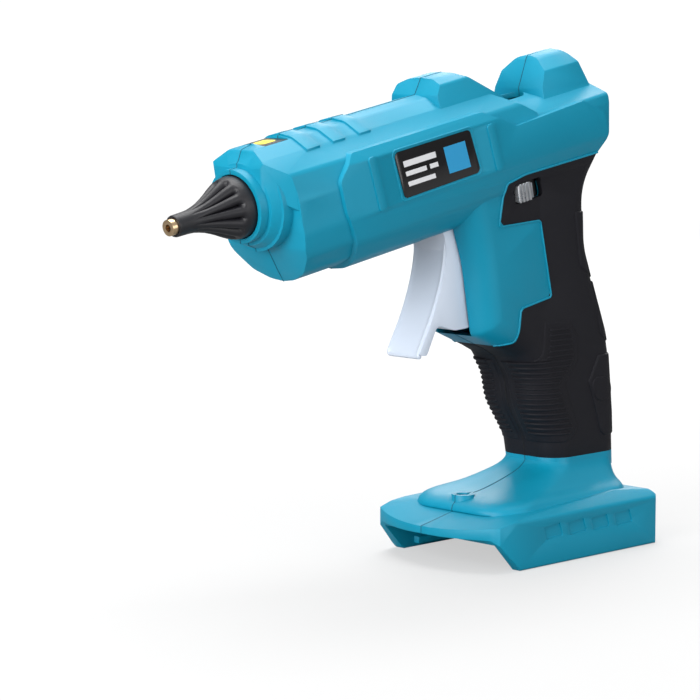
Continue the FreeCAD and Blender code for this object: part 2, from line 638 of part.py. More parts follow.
def trigger():
    """Finger blade with side walls, a hub on the pin and two arms that straddle the stick."""
    half = size("trigger_half_width")
    face = outline(TRIGGER_SIDE, side)
    body = prism(face, Vector(0, 1, 0), -half, half)
    hollow = shrunk(face, 2.4).common(outline([(8, 78), (60, 78), (60, 140), (16, 140)], side))
    hollow = prism(hollow.Faces[0], Vector(0, 1, 0), 2.2 - half, half - 2.2)
    opening = block(20, 60, 2.2 - half, half - 2.2, 86, 122)
    body = body.cut([hollow, opening.common(body)])
    point = pivot()
    arm_low = size("arm_inside")
    arm_high = arm_low + size("arm_thickness")
    hub = across_rod(5.4, point, -arm_high, arm_high)
    centre = rest_carriage()
    lean = math.radians(size("trigger_swing") / 2)
    slot_half = size("drive_pin_radius") + 0.15
    arms = []
    for side_sign in (-1, 1):
        low, high = sorted((side_sign * arm_low, side_sign * arm_high))
        foot_end = [size("pivot_s"), size("pivot_t")]
        arm_shape = [(foot_end[0] - 5, foot_end[1], 2), (foot_end[0] + 5, foot_end[1], 2),
                     (centre + 4.2, 3.6, 3.5), (centre - 4.2, 3.6, 3.5)]
        arm = prism(outline(arm_shape, side), Vector(0, 1, 0), low, high)
        slot = Part.makeBox(2 * slot_half, 6, 4.8, Vector(-slot_half, low - 1, -2.4))
        slot = slot.rotated(Vector(), Vector(0, 1, 0), math.degrees(lean)).translated(Vector(centre, 0, 0))
        arms.append(in_barrel(arm.cut(slot)))
    whole = body.fuse([hub] + arms)
    whole = whole.cut(across_rod(size("pivot_radius") + size("running_gap"), point, -20, 20))
    keep("trigger", largest(whole.removeSplitter()))


JAW_SIDE = [(-6.6, 7.4), (-5.6, 6.5), (-4.6, 7.2), (-3.6, 6.5), (-2.6, 7.2), (1, 7.0), (3.2, 8, 1),
            (3.2, 10.8, 1.5), (0, 11.6, 1.5), (-6.6, 9)]
JAW_PIVOT = (1.0, 9.3)


def feed_unit():
    centre = rest_carriage()
    half_length = size("carriage_half_length")
    half_width = size("carriage_half_width")
    body = block(-half_length, half_length, -half_width, half_width, -8, 7.6)
    ears = [block(-1.6, 3.6, low, low + 2.5, 7, 11.7) for low in (-6.7, 4.2)]
    pins = [axis_pin(size("drive_pin_radius"), low, low + 3.2) for low in (-half_width - 3.1, half_width - 0.1)]
    bore = axis_rod(6.2, -20, 20)
    jaw_slot = block(-7.2, 6, -4.1, 4.1, 2, 20)
    jaw_hole = axis_pin(1.05, -8, 8, *JAW_PIVOT)
    carriage = body.fuse(ears + pins).cut([bore, jaw_slot, jaw_hole])
    at_rest = BARREL.multiply(Placement(Vector(centre, 0, 0), Rotation()))
    keep("feed_carriage", carriage.removeSplitter(), at_rest)
    jaw = prism(outline(JAW_SIDE, side), Vector(0, 1, 0), -3.7, 3.7).cut(axis_pin(1.05, -8, 8, *JAW_PIVOT))
    keep("gripper_jaw", jaw, at_rest)
    keep("jaw_pin", axis_pin(1.0, -6.7, 6.7, *JAW_PIVOT), at_rest)


def axis_pin(radius, low, high, along=0, up=0):
    """Round pin parallel to Y, in the carriage's own frame."""
    return rod(radius, Vector(along, low, up), Vector(along, high, up))


def return_spring():
    """Torsion spring wound round the trigger pin, with one leg against the housing."""
    wire = 0.5
    coil_radius = 3.1
    turns = 2
    pitch = 2 * wire + 0.1
    helix = Part.makeHelix(pitch, pitch * turns, coil_radius)
    section = Part.Wire(Part.makeCircle(wire, Vector(coil_radius, 0, 0), Vector(0, 1, 0)))
    coil = Part.Wire(helix).makePipeShell([section], True, True)
    leg = Part.makeCylinder(wire, 5.5, Vector(coil_radius, 0, pitch * turns), Vector(0, 1, 0))
    spring = coil.fuse(leg)
    point = pivot()
    keep("return_spring", largest(spring), Placement(Vector(point.x, 13.6, point.z), ACROSS))


# ---------------------------------------------------------------- switch, board, terminals and leads

def switch_parts():
    half_height = 3.4
    knob_low = SWITCH_WINDOW[0][0] + 0.4
    length = SWITCH_WINDOW[1][0] - knob_low - size("knob_travel") - 0.8
    plate = [(knob_low, SWITCH_T + half_height, 1), (knob_low + length, SWITCH_T + half_height, 1),
             (knob_low + length, SWITCH_T - half_height, 1), (knob_low, SWITCH_T - half_height, 1)]
    knob = prism(outline(plate, side), Vector(0, 1, 0), -21.6, -17.2)
    grooves = [block(knob_low + 1.3 + 1.9 * index, knob_low + 2.2 + 1.9 * index, -22, -20.9, -30, -10)
               for index in range(4)]
    keep("switch_knob", knob.cut(grooves), BARREL)
    body = box("switch_case", "13", "4.3", "10")
    finish("switch_body", body, BARREL.multiply(Placement(Vector(6.5, -17.0, -27.9), Rotation())))


BOARD_SIDE = [(63.5, 55, 1), (80.5, 55, 1), (83.5, 84, 1), (67.5, 84, 1)]


def electronics():
    thick = size("board_thickness")
    plate = prism(outline(BOARD_SIDE, side), Vector(0, 1, 0), -6 - thick, -6)
    chips = [block(68, 75, -6, -4.4, 60, 66), block(70, 78, -6, -3.6, 76, 81)]
    keep("control_board", joined(plate, *chips))
    keep("board_inductor", Part.makeCylinder(4.2, 6, Vector(73, -6, 71), Vector(0, 1, 0)))
    keep("board_capacitor", Part.makeCylinder(2.6, 9, Vector(78.5, -6, 62), Vector(0, 1, 0)))
    sink = block(83.4, 96.4, -10, 10, 51, 82)
    fins = [block(85.4 + 3.6 * index, 87.0 + 3.6 * index, -11, 2, 50, 83) for index in range(3)]
    keep("board_heatsink", sink.cut(fins))
    blades = [block(62, 84, y - 0.5, y + 0.5, 4.6, 10.2) for y in (-8, -2.7, 2.7, 8)]
    case = block(73, 99, -10.7, 10.7, 2.5, 19).fuse(block(69, 73, -10.7, 10.7, 8.2, 10.4))
    keep("terminal_block", joined(case).cut(blades))
    keep("terminal_blades", Part.makeCompound(blades))


HEATER_ROUTES = {
    "heater_lead_live": [(-59.1, 2.2, -9.8), (-53, 4.2, -15), (-43, 11, -17.3), (-28, 15.4, -17.5),
                         (-6, 15.6, -17.0), (9, 15.2, -18.5), (16.4, 14.0, -34), (19, 8.5, -56), (24.5, -2, -76)],
    "heater_lead_neutral": [(-59.1, -2.2, -9.8), (-53, -0.8, -14.4), (-42, 9, -14.2), (-26, 15.4, -13.6),
                            (-6, 15.8, -13.2), (12, 15.4, -13.5), (19.6, 14.2, -31), (22.2, 8.7, -55),
                            (28, -2, -76)],
}
BATTERY_ROUTES = {
    "battery_lead_live": [(87, 5, 19.6), (86, 5, 28), (79.5, 3.5, 37), (76.5, -1, 46), (76, -4.8, 54.7)],
    "battery_lead_return": [(87, -5, 19.6), (85, -5, 28), (76, -5, 37), (72, -4.9, 46), (70, -4.8, 54.7)],
}


def lead(label, points, radius):
    """Round lead along straight runs joined by arcs as large as the runs allow."""
    path = [Vector(*point) for point in points]
    edges = []
    bends = []
    here = path[0]
    for before, corner, after in zip(path, path[1:], path[2:]):
        back = (before - corner)
        ahead = (after - corner)
        half = back.getAngle(ahead) / 2
        reach = 0.45 * min(back.Length, ahead.Length)
        bend = reach * math.tan(half)
        bends.append(bend)
        back.normalize()
        ahead.normalize()
        start = corner + back * reach
        end = corner + ahead * reach
        middle = corner + (back + ahead).normalize() * (bend / math.sin(half) - bend)
        edges.append(Part.makeLine(here, start))
        edges.append(Part.Arc(start, middle, end).toShape())
        here = end
    edges.append(Part.makeLine(here, path[-1]))
    wire = Part.Wire(edges)
    section = Part.Wire(Part.makeCircle(radius, path[0], path[1] - path[0]))
    print(label, "tightest bend radius %.1f mm" % min(bends))
    return wire.makePipeShell([section], True, False)


def leads():
    radius = size("lead_radius")
    for label, route in HEATER_ROUTES.items():
        keep(label, lead(label, route, radius), BARREL)
    for label, route in BATTERY_ROUTES.items():
        keep(label, lead(label, route, radius))


moulded_parts()
labels()
foot_screw()
trigger_pin()
nozzle()
nozzle_boot()
melt_chamber()
chamber_mounts()
stick_guide()
trigger()
feed_unit()
return_spring()
switch_parts()
electronics()
leads()
doc.recompute()

for feature in doc.Objects:
    if "Invalid" in feature.State or "Error" in feature.State:
        raise RuntimeError("%s did not compute" % feature.Label)
for label, feature in nodes.items():
    shape = feature.Shape
    if shape.isNull() or not shape.isValid() or shape.Volume <= 0:
        raise RuntimeError("%s has no valid solid" % label)

os.makedirs("parts", exist_ok=True)
for label, feature in nodes.items():
    feature.Shape.exportStep("parts/%s.step" % label)
print(len(nodes), "sub-parts")
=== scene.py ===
import json
import math

import bmesh
import bpy
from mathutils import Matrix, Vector
from mathutils.bvhtree import BVHTree


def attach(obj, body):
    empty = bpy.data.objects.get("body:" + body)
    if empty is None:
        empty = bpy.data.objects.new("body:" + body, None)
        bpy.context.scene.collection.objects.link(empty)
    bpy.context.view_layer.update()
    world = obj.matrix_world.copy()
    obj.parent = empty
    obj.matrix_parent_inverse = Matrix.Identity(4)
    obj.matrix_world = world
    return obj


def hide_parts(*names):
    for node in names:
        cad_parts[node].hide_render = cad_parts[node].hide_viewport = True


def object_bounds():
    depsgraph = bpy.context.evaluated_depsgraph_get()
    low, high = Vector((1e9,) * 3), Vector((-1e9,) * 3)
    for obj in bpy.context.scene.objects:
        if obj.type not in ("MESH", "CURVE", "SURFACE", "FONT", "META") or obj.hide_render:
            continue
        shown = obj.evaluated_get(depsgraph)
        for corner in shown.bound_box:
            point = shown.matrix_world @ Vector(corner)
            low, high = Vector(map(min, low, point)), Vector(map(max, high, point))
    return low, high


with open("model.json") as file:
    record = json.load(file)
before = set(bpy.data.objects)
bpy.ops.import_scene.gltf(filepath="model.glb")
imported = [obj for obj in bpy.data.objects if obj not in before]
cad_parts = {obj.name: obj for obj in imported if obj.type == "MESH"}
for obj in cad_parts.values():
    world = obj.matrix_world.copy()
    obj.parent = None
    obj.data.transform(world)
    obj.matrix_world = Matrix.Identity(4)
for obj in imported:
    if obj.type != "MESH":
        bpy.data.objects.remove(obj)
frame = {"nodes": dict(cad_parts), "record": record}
cad_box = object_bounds()
MM = 0.001
SIDES = ((-1, "left"), (1, "right"))

# The barrel frame: s rearward along the barrel axis, t away from the foot.
TILT = math.radians(10.7)
AXIS_POINT = Vector((0.030, 0.0, 0.1605))
ALONG = Vector((math.cos(TILT), 0.0, math.sin(TILT)))
UP = Vector((-math.sin(TILT), 0.0, math.cos(TILT)))
ACROSS = Vector((0.0, 1.0, 0.0))


def barrel_point(along, across, up):
    """Point of the barrel frame, given in millimetres, in the row frame."""
    return AXIS_POINT + (ALONG * along + ACROSS * across + UP * up) * MM


# ---------------------------------------------------------------- camera, light and floor

CAMERA_LENS = 138.86
CAMERA_SENSOR = 36
CAMERA_PLACE = (-0.7026, -0.6946, 0.20441)
CAMERA_TURN = (82.966, 0, -44.2147)

LIT_POINT = Vector((0, 0, 0.1))
# Each softbox: name, direction it stands in, distance, width, height and power.
SOFTBOXES = [("key_light", (-1.0, -0.12, 0.35), 1.3, 0.8, 0.8, 14.0),
             ("side_fill", (0.1, -1.0, 0.1), 1.4, 1.2, 0.9, 10.0),
             ("low_front", (-1.0, -0.3, 0.06), 1.2, 0.9, 0.5, 7.0),
             ("top_light", (0.1, 0.2, 1.0), 1.3, 1.0, 1.0, 20.0),
             ("rear_rim", (0.9, 0.6, 0.5), 1.4, 0.8, 0.8, 8.0)]
WORLD_STRENGTH = 0.62

# The paper's glow at two distances from the gun, metres.
GLOW_REACH = (0.2, 2.2)
GLOW_LEVEL = (0.54, 0.92)
# Radius and height of the paper's rings, metres.
FLOOR_PROFILE = [(2.2, 0.0), (2.8, 0.08), (3.2, 0.3), (3.45, 0.7), (3.5, 1.6)]
FLOOR_POINTS = 96


def camera():
    """Long lens in front of the gun's left side, a little above its middle."""
    data = bpy.data.cameras.new("camera")
    data.lens = CAMERA_LENS
    data.sensor_width = CAMERA_SENSOR
    data.clip_end = 10
    eye = bpy.data.objects.new("camera", data)
    eye.location = CAMERA_PLACE
    eye.rotation_euler = [math.radians(angle) for angle in CAMERA_TURN]
    bpy.context.collection.objects.link(eye)
    bpy.context.scene.camera = eye


def softbox(name, direction, distance, width, height, power):
    """Rectangular area light that looks at the middle of the gun."""
    data = bpy.data.lights.new(name, "AREA")
    data.shape = "RECTANGLE"
    data.size = width
    data.size_y = height
    data.energy = power
    lamp = bpy.data.objects.new(name, data)
    lamp.location = LIT_POINT + Vector(direction).normalized() * distance
    lamp.rotation_euler = (LIT_POINT - lamp.location).to_track_quat("-Z", "Y").to_euler()
    bpy.context.collection.objects.link(lamp)


def studio():
    """Softboxes round the gun in an evenly bright room."""
    for box in SOFTBOXES:
        softbox(*box)
    world = bpy.data.worlds.new("studio")
    bpy.context.scene.world = world
    world.use_nodes = True
    background = world.node_tree.nodes["Background"]
    background.inputs["Color"].default_value = (1, 1, 1, 1)
    background.inputs["Strength"].default_value = WORLD_STRENGTH
    bpy.context.scene.view_settings.view_transform = "Standard"


def lit_paper():
    """White paper lit from behind: the glow is only seen directly and doesn't light the gun."""
    paper = surface("floor_paper", (0.24, 0.24, 0.24), 0.85, grain=60, relief=0.0, patch=0.01,
                    patch_scale=2, specular=0.0)
    tree = paper.node_tree
    shader = tree.nodes["Principled BSDF"]
    shader.inputs["Emission Color"].default_value = (1, 1, 1, 1)
    path = tree.nodes.new("ShaderNodeLightPath")
    place = tree.nodes.new("ShaderNodeNewGeometry")
    reach = tree.nodes.new("ShaderNodeVectorMath")
    reach.operation = "LENGTH"
    level = tree.nodes.new("ShaderNodeMapRange")
    for end, distance, brightness in zip(("Min", "Max"), GLOW_REACH, GLOW_LEVEL):
        level.inputs["From " + end].default_value = distance
        level.inputs["To " + end].default_value = brightness
    glow = tree.nodes.new("ShaderNodeMath")
    glow.operation = "MULTIPLY"
    tree.links.new(place.outputs["Position"], reach.inputs[0])
    tree.links.new(reach.outputs["Value"], level.inputs["Value"])
    tree.links.new(level.outputs["Result"], glow.inputs[1])
    tree.links.new(path.outputs["Is Camera Ray"], glow.inputs[0])
    tree.links.new(glow.outputs[0], shader.inputs["Emission Strength"])
    return paper


def floor():
    """Flat pale floor that curves up far behind the gun, all the way round."""
    vertices = []
    for radius, height in FLOOR_PROFILE:
        for index in range(FLOOR_POINTS):
            angle = 2 * math.pi * index / FLOOR_POINTS
            vertices.append((radius * math.cos(angle), radius * math.sin(angle), height))
    faces = [tuple(range(FLOOR_POINTS))]
    for ring in range(len(FLOOR_PROFILE) - 1):
        for index in range(FLOOR_POINTS):
            low = ring * FLOOR_POINTS + index
            low_next = ring * FLOOR_POINTS + (index + 1) % FLOOR_POINTS
            faces.append((low, low + FLOOR_POINTS, low_next + FLOOR_POINTS, low_next))
    mesh = bpy.data.meshes.new("floor")
    mesh.from_pydata(vertices, [], faces)
    mesh.shade_smooth()
    paper = bpy.data.objects.new("floor", mesh)
    bpy.context.collection.objects.link(paper)
    mesh.materials.append(lit_paper())


# ---------------------------------------------------------------- materials

SLOW_DETAIL = 4
FINE_DETAIL = 3
ROUGHNESS_SPREAD = 0.12
BUMP_DISTANCE = 0.0004


def surface(name, colour, roughness, metallic=0.0, grain=1800, relief=0.05, patch=0.06,
            patch_scale=35, coat=0.0, specular=0.5):
    """Moulded or machined surface: fine grain in the bump, slow patches in colour and roughness."""
    material = bpy.data.materials.new(name)
    material.use_nodes = True
    tree = material.node_tree
    shader = tree.nodes["Principled BSDF"]
    shader.inputs["Metallic"].default_value = metallic
    shader.inputs["Coat Weight"].default_value = coat
    shader.inputs["Specular IOR Level"].default_value = specular
    place = tree.nodes.new("ShaderNodeTexCoord")
    slow = tree.nodes.new("ShaderNodeTexNoise")
    slow.inputs["Scale"].default_value = patch_scale
    slow.inputs["Detail"].default_value = SLOW_DETAIL
    fine = tree.nodes.new("ShaderNodeTexNoise")
    fine.inputs["Scale"].default_value = grain
    fine.inputs["Detail"].default_value = FINE_DETAIL
    tint = tree.nodes.new("ShaderNodeMix")
    tint.data_type = "RGBA"
    tint.inputs[6].default_value = [channel * (1 - patch) for channel in colour] + [1]
    tint.inputs[7].default_value = [min(1, channel * (1 + patch)) for channel in colour] + [1]
    polish = tree.nodes.new("ShaderNodeMapRange")
    polish.inputs["To Min"].default_value = roughness * (1 - ROUGHNESS_SPREAD)
    polish.inputs["To Max"].default_value = min(1, roughness * (1 + ROUGHNESS_SPREAD))
    bump = tree.nodes.new("ShaderNodeBump")
    bump.inputs["Strength"].default_value = relief
    bump.inputs["Distance"].default_value = BUMP_DISTANCE
    links = tree.links
    links.new(place.outputs["Object"], slow.inputs["Vector"])
    links.new(place.outputs["Object"], fine.inputs["Vector"])
    links.new(slow.outputs["Fac"], tint.inputs[0])
    links.new(tint.outputs[2], shader.inputs["Base Color"])
    links.new(slow.outputs["Fac"], polish.inputs["Value"])
    links.new(polish.outputs["Result"], shader.inputs["Roughness"])
    links.new(fine.outputs["Fac"], bump.inputs["Height"])
    links.new(bump.outputs["Normal"], shader.inputs["Normal"])
    return material


def make_materials():
    """One material for each slot of the record."""
    return {
        "housing": surface("teal_plastic", (0.0, 0.235, 0.365), 0.46, grain=2600, relief=0.10,
                           patch=0.04, specular=0.3),
        "grip": surface("grip_rubber", (0.009, 0.009, 0.0125), 0.6, grain=3200, relief=0.16,
                        patch=0.12, specular=0.18),
        "trigger": surface("trigger_plastic", (0.60, 0.67, 0.78), 0.34, grain=1500, relief=0.03,
                           patch=0.02),
        "label": surface("label_film", (0.003, 0.003, 0.004), 0.22, grain=900, relief=0.01,
                         coat=0.4),
        "sticker": surface("sticker_film", (0.010, 0.010, 0.011), 0.35, grain=900, relief=0.01),
        "nozzle": surface("turned_brass", (0.56, 0.41, 0.25), 0.28, metallic=1.0, grain=1200,
                          relief=0.05, patch=0.15),
        "boot": surface("boot_silicone", (0.0045, 0.0045, 0.0075), 0.5, grain=2600, relief=0.08,
                        patch=0.10),
        "chamber": surface("cast_aluminium", (0.60, 0.61, 0.63), 0.45, metallic=1.0, grain=1500,
                           relief=0.12),
        "heater": surface("heater_film", (0.50, 0.30, 0.10), 0.35, grain=900, relief=0.05),
        "insulator": surface("mica_plate", (0.45, 0.36, 0.20), 0.6, grain=700, relief=0.15,
                             patch=0.2),
        "sleeve": surface("red_silicone", (0.35, 0.05, 0.03), 0.55, grain=1800, relief=0.06),
        "spring_steel": surface("spring_steel", (0.45, 0.46, 0.48), 0.3, metallic=1.0, grain=2200,
                                relief=0.05),
        "screw": surface("zinc_plate", (0.42, 0.43, 0.45), 0.35, metallic=1.0, grain=2200,
                         relief=0.06, patch=0.15),
        "guide": surface("black_nylon", (0.012, 0.012, 0.013), 0.4, grain=2200, relief=0.08),
        "knob": surface("satin_silver", (0.62, 0.64, 0.67), 0.28, metallic=0.9, grain=2600,
                        relief=0.05),
        "board": surface("solder_mask", (0.01, 0.10, 0.04), 0.3, grain=900, relief=0.04),
        "winding": surface("copper_winding", (0.50, 0.20, 0.08), 0.35, metallic=1.0, grain=900,
                           relief=0.3),
        "contact": surface("contact_brass", (0.66, 0.52, 0.30), 0.3, metallic=1.0, grain=1500,
                           relief=0.05),
        "lead_red": surface("red_lead", (0.40, 0.01, 0.01), 0.5, grain=1500, relief=0.05),
        "lead_black": surface("black_lead", (0.01, 0.01, 0.01), 0.5, grain=1500, relief=0.05),
    }


# Width of the rounding on the outer edges of the visible nodes, millimetres.
EDGE_ROUNDS = {"housing_left": 0.35, "housing_right": 0.35, "grip_left": 0.3, "grip_right": 0.3,
               "trigger": 0.5, "switch_knob": 0.25, "label_left": 0.12, "label_right": 0.12,
               "nozzle": 0.15, "foot_screw": 0.2}
SHARP_EDGE = math.radians(32)
WELD_DISTANCE = 0.00001


def dress_nodes(materials):
    """Every CAD node takes its slot's material and smooth shading between its sharp edges; the nodes
    listed in EDGE_ROUNDS also take softly rounded edges.
    """
    for subpart in frame["record"]["subparts"]:
        node = frame["nodes"][subpart["node"]]
        node.data.materials.clear()
        node.data.materials.append(materials[subpart["material_slot"]])
        node.modifiers.new("weld", "WELD").merge_threshold = WELD_DISTANCE
        node.data.shade_smooth()
        width = EDGE_ROUNDS.get(subpart["node"])
        if width:
            rounding = node.modifiers.new("rounding", "BEVEL")
            rounding.width = width * MM
            rounding.segments = 2
            rounding.limit_method = "ANGLE"
            rounding.angle_limit = SHARP_EDGE
        node.modifiers.new("split", "EDGE_SPLIT").split_angle = SHARP_EDGE


# ---------------------------------------------------------------- mesh and curve building

def new_piece(name, vertices, faces, material, slot, body="housing"):
    """Smooth solid with outward normals that rides on a body."""
    mesh = bpy.data.meshes.new(name)
    mesh.from_pydata(vertices, [], faces)
    mesh.validate()
    shaped = bmesh.new()
    shaped.from_mesh(mesh)
    bmesh.ops.recalc_face_normals(shaped, faces=shaped.faces)
    shaped.to_mesh(mesh)
    shaped.free()
    mesh.shade_smooth()
    mesh.materials.append(material)
    piece = bpy.data.objects.new(name, mesh)
    bpy.context.collection.objects.link(piece)
    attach(piece, body)
    return piece


def tube(name, runs, radius, resolution, material, closed=False):
    """Round bead on the housing along each run of points."""
    curve = bpy.data.curves.new(name, "CURVE")
    curve.dimensions = "3D"
    curve.bevel_depth = radius * MM
    curve.bevel_resolution = resolution
    curve.use_fill_caps = not closed
    for run in runs:
        spline = curve.splines.new("POLY")
        spline.points.add(len(run) - 1)
        for knot, point in zip(spline.points, run):
            knot.co = (*point, 1)
        spline.use_cyclic_u = closed
    bead = bpy.data.objects.new(name, curve)
    bpy.context.collection.objects.link(bead)
    curve.materials.append(material)
    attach(bead, "housing")


def closed_grid(top, bottom):
    """Vertices and faces of the solid between two grids of the same size."""
    rows = len(top)
    columns = len(top[0])
    vertices = [point for row in top for point in row] + [point for row in bottom for point in row]
    below = rows * columns
    faces = []
    for r in range(rows - 1):
        for c in range(columns - 1):
            corner = r * columns + c
            quad = (corner, corner + 1, corner + columns + 1, corner + columns)
            faces.append(quad)
            faces.append(tuple(index + below for index in reversed(quad)))
    rim = list(range(columns))
    rim += [r * columns + columns - 1 for r in range(1, rows)]
    rim += [(rows - 1) * columns + c for c in range(columns - 2, -1, -1)]
    rim += [r * columns for r in range(rows - 2, 0, -1)]
    for here, following in zip(rim, rim[1:] + rim[:1]):
        faces.append((here, here + below, following + below, following))
    return vertices, faces


def joined_solids(solids):
    """Vertices and faces of several solids as those of one."""
    vertices = []
    faces = []
    for points, polygons in solids:
        start = len(vertices)
        vertices += points
        faces += [tuple(index + start for index in polygon) for polygon in polygons]
    return vertices, faces


def interpolate(table, value):
    """Straight-line reading of a table of (value, result) pairs sorted by value."""
    if value <= table[0][0]:
        return table[0][1]
    for (low, first), (high, second) in zip(table, table[1:]):
        if value <= high:
            return first + (second - first) * (value - low) / (high - low)
    return table[-1][1]


def gun_skin():
    """Search tree of the housing's and the grip's surfaces."""
    meshes = [frame["nodes"][name].data
              for name in ("housing_left", "housing_right", "grip_left", "grip_right")]
    return BVHTree.FromPolygons(*joined_solids(
        ([vertex.co.copy() for vertex in mesh.vertices],
         [tuple(polygon.vertices) for polygon in mesh.polygons]) for mesh in meshes))


# ---------------------------------------------------------------- relief on the handle

# Middle of the handle's section at each height, millimetres.
HANDLE_MIDDLE = [(34, 88), (60, 83), (80, 75), (100, 68), (135, 62)]
# Distance from the gun's middle, metres, from which its skin is looked for.
HANDLE_REACH = 0.08
FLANK_REACH = 0.06
# Radius at which angles round the handle are turned into lengths, and the step along a pad's rim.
WRAP_RADIUS = 17.0
EDGE_STEP = 0.35
PAD_RIM_RISE = -0.25
PAD_SHOULDER = 0.7
PAD_DEPTH = 0.6


def handle_point(skin, angle, height):
    """Skin point at an angle round the handle: 0 faces the rear, -90 the left side, 180 the front."""
    middle = Vector((interpolate(HANDLE_MIDDLE, height) * MM, 0, height * MM))
    outward = Vector((math.cos(math.radians(angle)), math.sin(math.radians(angle)), 0))
    point, normal, _, _ = skin.ray_cast(middle + outward * HANDLE_REACH, -outward)
    if normal.dot(outward) < 0:
        normal = -normal
    return point, normal


def flank_point(skin, x, height, side):
    """Skin point on one side of the gun, x and height in metres; None where there is no skin."""
    return skin.ray_cast(Vector((x, side * FLANK_REACH, height)), Vector((0, -side, 0)))[0]


def side_angle(skin, along, height, side):
    """Angle round the handle of the flank point at x = along, or of the nearest skin inward of it."""
    middle = interpolate(HANDLE_MIDDLE, height) * MM
    x = along * MM
    point = flank_point(skin, x, height * MM, side)
    while point is None:
        x += (middle - x) * 0.05
        point = flank_point(skin, x, height * MM, side)
    return math.degrees(math.atan2(abs(point.y), point.x - middle))


def spread(low, high, inner):
    """Values from low to high with two close steps at each end, for a rounded rim."""
    inside = [low + 2 * EDGE_STEP + (high - low - 4 * EDGE_STEP) * k / inner
              for k in range(inner + 1)]
    return [low, low + EDGE_STEP] + inside + [high - EDGE_STEP, high]


def wrapped(skin, heights, first_angle, last_angle, side, lift, base=0.0, across=20):
    """Raised pad between two angles at each height, with a rounded rim that starts under the skin."""
    top = []
    bottom = []
    for r, height in enumerate(heights):
        start = math.radians(first_angle(height)) * WRAP_RADIUS
        end = max(math.radians(last_angle(height)) * WRAP_RADIUS, start + 6 * EDGE_STEP)
        arcs = spread(start, end, across)
        top_row = []
        bottom_row = []
        for c, arc in enumerate(arcs):
            point, normal = handle_point(skin, side * math.degrees(arc / WRAP_RADIUS), height)
            ring = min(r, c, len(heights) - 1 - r, len(arcs) - 1 - c)
            rise = (PAD_RIM_RISE, PAD_SHOULDER * lift, lift)[min(ring, 2)] + base
            top_row.append(point + normal * rise * MM)
            bottom_row.append(point - normal * PAD_DEPTH * MM)
        top.append(top_row)
        bottom.append(bottom_row)
    return closed_grid(top, bottom)


# Side edges of the pads down the back strap, (height, x) with the top last.
BACK_PADS = [[(104.5, 88.0), (109.5, 77.5), (131.0, 73.0)],
             [(79.0, 97.5), (82.0, 91.5), (103.3, 87.0)],
             [(42.0, 96.5), (43.5, 94.0), (64.5, 85.5), (74.5, 90.5)]]
PAD_FIRST_ANGLE = 1.2
PAD_LIFT = 0.55
PAD_ROWS = 24
# Height, x and radius of the round medallion on the lowest pad.
MEDALLION = (61.0, 93.5, 5.0)
MEDALLION_LIFT = 0.35
MEDALLION_ROWS = 20
# Edges of the finger zone, (height, x). Below its upper front edge it ends at the front angle.
ZONE_REAR = [(41.5, 74.0), (44.5, 79.0), (47.5, 80.5), (65.0, 72.0), (74.0, 79.0), (84.0, 77.5),
             (89.5, 73.0)]
ZONE_UPPER_FRONT = [(74.5, 54.5), (76.0, 57.0), (78.0, 58.0), (89.5, 58.5)]
ZONE_FRONT_ANGLE = 176.0
ZONE_LIFT = 0.3
ZONE_ROWS = 60
ZONE_COLUMNS = 40
RIB_COUNT = 21
RIB_FIRST = 45.2
RIB_PITCH = 2.05
RIB_HALF = 0.6
RIB_SECTION = (-1, -0.7, -0.3, 0, 0.3, 0.7, 1)
RIB_LIFT = 0.45
RIB_COLUMNS = 30
# Angles by which the ribs stop short of the zone's rear and front edges.
RIB_REAR_GAP = 9
RIB_FRONT_GAP = 7


def back_pads(skin, side):
    """Three raised pads from the middle of the back strap round to their side edges."""
    pads = []
    for edge in BACK_PADS:
        heights = spread(edge[0][0], edge[-1][0], PAD_ROWS)
        pads.append(wrapped(skin, heights, lambda h: PAD_FIRST_ANGLE,
                            lambda h: side_angle(skin, interpolate(edge, h), h, side), side,
                            PAD_LIFT))
    return joined_solids(pads)


def back_medallion(skin, side):
    """Plain round disc on top of the lowest pad."""
    height, along, radius = MEDALLION
    centre = side_angle(skin, along, height, side)

    def half_angle(h):
        return math.degrees(math.sqrt(max(radius ** 2 - (h - height) ** 2, 0.2)) / WRAP_RADIUS)

    return wrapped(skin, spread(height - radius, height + radius, MEDALLION_ROWS),
                   lambda h: centre - half_angle(h), lambda h: centre + half_angle(h), side,
                   MEDALLION_LIFT, base=PAD_LIFT)


def finger_ribs(skin, side):
    """Raised finger zone on the front of the handle with level ribs across it."""
    def zone_front(h):
        if h < ZONE_UPPER_FRONT[0][0]:
            return ZONE_FRONT_ANGLE
        return side_angle(skin, interpolate(ZONE_UPPER_FRONT, h), h, side)

    def zone_rear(h):
        return side_angle(skin, interpolate(ZONE_REAR, h), h, side)

    solids = [wrapped(skin, spread(ZONE_REAR[0][0], ZONE_REAR[-1][0], ZONE_ROWS), zone_rear,
                      zone_front, side, ZONE_LIFT, across=ZONE_COLUMNS)]
    for index in range(RIB_COUNT):
        height = RIB_FIRST + index * RIB_PITCH
        heights = [height + RIB_HALF * share for share in RIB_SECTION]
        solids.append(wrapped(skin, heights, lambda h: zone_rear(h) + RIB_REAR_GAP,
                              lambda h: zone_front(h) - RIB_FRONT_GAP, side, RIB_LIFT,
                              base=ZONE_LIFT, across=RIB_COLUMNS))
    return joined_solids(solids)


def grip_details(materials):
    """Rubber relief on both sides of the handle."""
    skin = gun_skin()
    for side, word in SIDES:
        for name, build in (("back_pads_", back_pads), ("back_medallion_", back_medallion),
                            ("finger_ribs_", finger_ribs)):
            new_piece(name + word, *build(skin, side), materials["grip"], "grip")


# Corners of the line where the housing meets the upper edge of the grip, (x, z).
GRIP_LIP = [(84.8, 153.3), (43, 146.4), (33.4, 143.2), (31.2, 127.2), (53.9, 128.6), (62, 99.2),
            (45.2, 95.8), (44.2, 83), (38, 81.5)]
LIP_RADIUS = 0.42
LIP_STEP = 1.5


